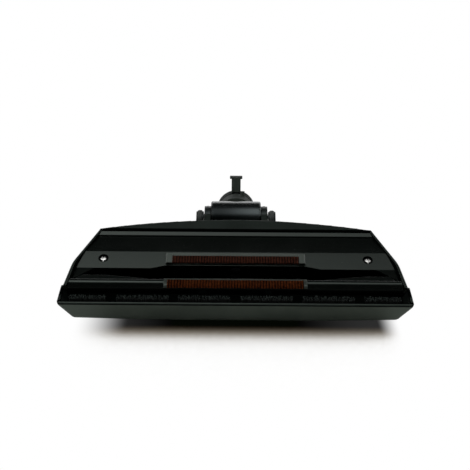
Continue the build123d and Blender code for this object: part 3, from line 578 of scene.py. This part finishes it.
def makeVelour(look):
    chance = random.Random(look["seed"])
    shape = bmesh.new()
    shape.from_mesh(nodes[look["node"]].data)
    bmesh.ops.transform(shape, matrix=soleTurn.transposed().to_4x4(), verts=shape.verts)
    bmesh.ops.remove_doubles(shape, verts=shape.verts, dist=1e-6)
    low, high = boxOf(solePoints(look["node"]))
    pitch = look["cut"] * millimetre
    for axis in (1, 2, 0):
        normal = Vector([float(axis == other) for other in range(3)])
        steps = int((high[axis] - low[axis]) / pitch)
        for step in range(1, steps):
            place = low + (high - low) * (step / steps)
            bmesh.ops.bisect_plane(shape, geom=shape.verts[:] + shape.edges[:] + shape.faces[:],
                                   plane_co=place, plane_no=normal)
    bmesh.ops.triangulate(shape, faces=shape.faces[:])
    shape.normal_update()

    def ridge(x):
        return 0.5 + 0.5 * math.sin(2 * math.pi * x / (look["ribPitch"] * millimetre))

    outer = [face for face in shape.faces
             if face.normal.z > look["pileUp"] or face.normal.y < look["pileFront"]]
    weights = [face.calc_area() for face in outer]
    points, faces = [], []
    for face in chance.choices(outer, weights, k=look["pile"]):
        first, second = sorted((chance.random(), chance.random()))
        a, b, c = (vertex.co for vertex in face.verts)
        root = a * first + b * (second - first) + c * (1 - second)
        grown = look["valley"] + (1 - look["valley"]) * ridge(root.x)
        length = look["pileLength"] * millimetre * grown * chance.uniform(*look["lengthSpread"])
        stray = Vector((chance.gauss(0, look["stray"]), look["nap"] + chance.gauss(0, look["stray"]),
                        chance.gauss(0, look["strayUp"])))
        root = root - face.normal * look["rooted"] * millimetre
        tip = root + (face.normal + stray).normalized() * length
        addStalk(points, faces, root, tip, Vector((0, 0, 0)), look["width"] * millimetre, look["taper"])
    for vertex in shape.verts:
        sunk = look["ribDepth"] * millimetre * (1 - ridge(vertex.co.x)) + look["groundDepth"] * millimetre
        if vertex.normal.z > look["pileUp"] or vertex.normal.y < look["groundFront"]:
            vertex.co -= vertex.normal * sunk
    shape.verts.index_update()
    first = len(points)
    points += [vertex.co.copy() for vertex in shape.verts]
    faces += [tuple(first + vertex.index for vertex in face.verts) for face in shape.faces]
    shape.free()
    piece = newPiece(look["piece"], [soleTurn @ point for point in points], faces, velourFinish(look))
    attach(piece, "head")
    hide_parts(look["node"])
    print(look["piece"], len(faces), "faces")


makeVelour(frontVelour)
makeVelour(rearVelour)


# white floor that keeps a soft shadow on the side away from the light
floorLook = {"radius": 4.0, "segments": 96, "albedo": 0.92, "shadow": (0.0012, 0.0018, 0.0009),
             "samples": 24, "reach": 0.110, "aside": 0.72, "away": 0.62, "up": 0.31,
             "closed": 0.52, "clear": 0.922, "rearSpan": (-0.09, 0.0), "open": 0.40, "behind": 0.16,
             "left": (-0.128, -0.084), "right": (0.112, 0.130), "thinSpan": (0.04, 0.11), "thin": 0.025,
             "depth": 3.5, "rim": 30.0, "rimShare": 0.5, "warm": (1.0, 1.07, 1.18)}


def makeFloor(look):
    mesh = bpy.data.meshes.new("studioFloor")
    shape = bmesh.new()
    bmesh.ops.create_circle(shape, cap_ends=True, segments=look["segments"], radius=look["radius"])
    shape.to_mesh(mesh)
    shape.free()
    floor = bpy.data.objects.new("studioFloor", mesh)
    bpy.context.scene.collection.objects.link(floor)
    material, bench = newFinish("studioFloor")
    # open to the light from behind on the left or on the right
    sides = [bench.add("ShaderNodeAmbientOcclusion", {"samples": look["samples"]},
                       {"Distance": look["reach"],
                        "Normal": (side * look["aside"], look["away"], look["up"])}, "AO")
             for side in (-1, 1)]
    x, y = bench.parts(bench.place())[:2]
    rear = y.bent(*look["rearSpan"])
    lit = bench.add("ShaderNodeMapRange", None,
                    {"Value": bench.maths("MAXIMUM", *sides),
                     "From Min": look["closed"] - rear * look["open"],
                     "From Max": look["clear"] - rear * look["behind"]})
    lit = lit ** look["depth"] * (1 - look["rimShare"]) + lit ** look["rim"] * look["rimShare"]
    # the shadow ends short of the head's ends
    between = x.bent(*look["left"]) * (1.0 - x.bent(*look["right"]))
    between = between * (1.0 - bench.maths("ABSOLUTE", x).bent(*look["thinSpan"]) * look["thin"])
    channels = [1.0 - between * (1.0 - lit ** warmth) for warmth in look["warm"]]
    shade = bench.add("ShaderNodeCombineColor", None, dict(enumerate(channels)))
    colour = bench.add("ShaderNodeMix", {"data_type": "RGBA", "blend_type": "LIGHTEN"},
                       {0: 1.0, 6: shade, 7: rgba(look["shadow"])}, 2)
    pale = bench.add("ShaderNodeBsdfPrincipled", None,
                     {"Base Color": rgba([look["albedo"]] * 3), "Roughness": 1.0, "Specular IOR Level": 0.0})
    shown = bench.add("ShaderNodeBsdfPrincipled", None,
                      {"Base Color": rgba((0.0, 0.0, 0.0)), "Roughness": 1.0, "Specular IOR Level": 0.0,
                       "Emission Color": colour, "Emission Strength": 1.0})
    camera, glossy, through = (bench.add("ShaderNodeLightPath", output="Is " + ray + " Ray")
                               for ray in ("Camera", "Glossy", "Transmission"))
    both = bench.add("ShaderNodeMixShader", None, {0: camera + glossy + through, 1: pale, 2: shown})
    bench.add("ShaderNodeOutputMaterial", None, {"Surface": both})
    mesh.materials.append(material)


makeFloor(floorLook)

# studio: a soft box overhead and a bright wall low behind, the rest of the room dark; angles in degrees
studioLook = {"softBox": 2.0, "boxLow": 74.0, "boxHigh": 110.0, "boxBlur": 5.0, "boxReach": 0.8,
              "boxSoft": 0.15, "boxLeft": 1.50, "boxRight": 0.62, "boxFade": 0.30,
              "backLight": 1.6, "backLow": -4.0, "backHigh": 22.0, "backBlur": 4.0, "backReach": 70.0,
              "backSoft": 15.0, "rest": 0.022}


def makeStudio(look):
    world = bpy.data.worlds.new("studio")
    bpy.context.scene.world = world
    world.use_nodes = True
    bench = Bench(world.node_tree)
    x, y, z = bench.parts(bench.add("ShaderNodeTexCoord", output="Generated"))
    degrees = math.degrees(1.0)
    lean = bench.maths("ARCTAN2", z, y) * degrees
    height = bench.maths("ARCSINE", z) * degrees
    aside = bench.maths("ABSOLUTE", bench.maths("ARCTAN2", x, y)) * degrees
    across = bench.maths("ABSOLUTE", x)
    box = lean.within(look["boxLow"], look["boxHigh"], look["boxBlur"])
    box = box * (1.0 - across.bent(look["boxReach"] - look["boxSoft"], look["boxReach"] + look["boxSoft"]))
    fade = x.bent(-look["boxFade"], look["boxFade"])
    box = box * (look["boxLeft"] + fade * (look["boxRight"] - look["boxLeft"]))
    back = height.within(look["backLow"], look["backHigh"], look["backBlur"])
    back = back * (1.0 - aside.bent(look["backReach"] - look["backSoft"],
                                    look["backReach"] + look["backSoft"]))
    light = look["rest"] + box * look["softBox"] + back * look["backLight"]
    seen = bench.add("ShaderNodeLightPath", output="Is Camera Ray")
    lamp = bench.add("ShaderNodeBackground", None,
                     {"Color": (1.0, 1.0, 1.0, 1.0), "Strength": seen + (1.0 - seen) * light})
    bench.add("ShaderNodeOutputWorld", None, {"Surface": lamp})


makeStudio(studioLook)
print("floor and studio ready")

cameraLook = {"place": (-0.000700, -0.755703, 0.350583), "pitch": 22.824, "roll": 0.45, "lens": 71.66,
              "sensor": 36.0, "nearest": 0.01}


def makeCamera(look):
    data = bpy.data.cameras.new("photoView")
    data.lens = look["lens"]
    data.sensor_width = look["sensor"]
    data.clip_start = look["nearest"]
    camera = bpy.data.objects.new("photoView", data)
    bpy.context.scene.collection.objects.link(camera)
    tilt = Matrix.Rotation(math.radians(90.0 - look["pitch"]), 4, "X")
    roll = Matrix.Rotation(math.radians(look["roll"]), 4, "Z")
    camera.matrix_world = Matrix.Translation(look["place"]) @ tilt @ roll
    bpy.context.scene.camera = camera


makeCamera(cameraLook)
bpy.context.scene.view_settings.view_transform = "Standard"
print("camera placed")
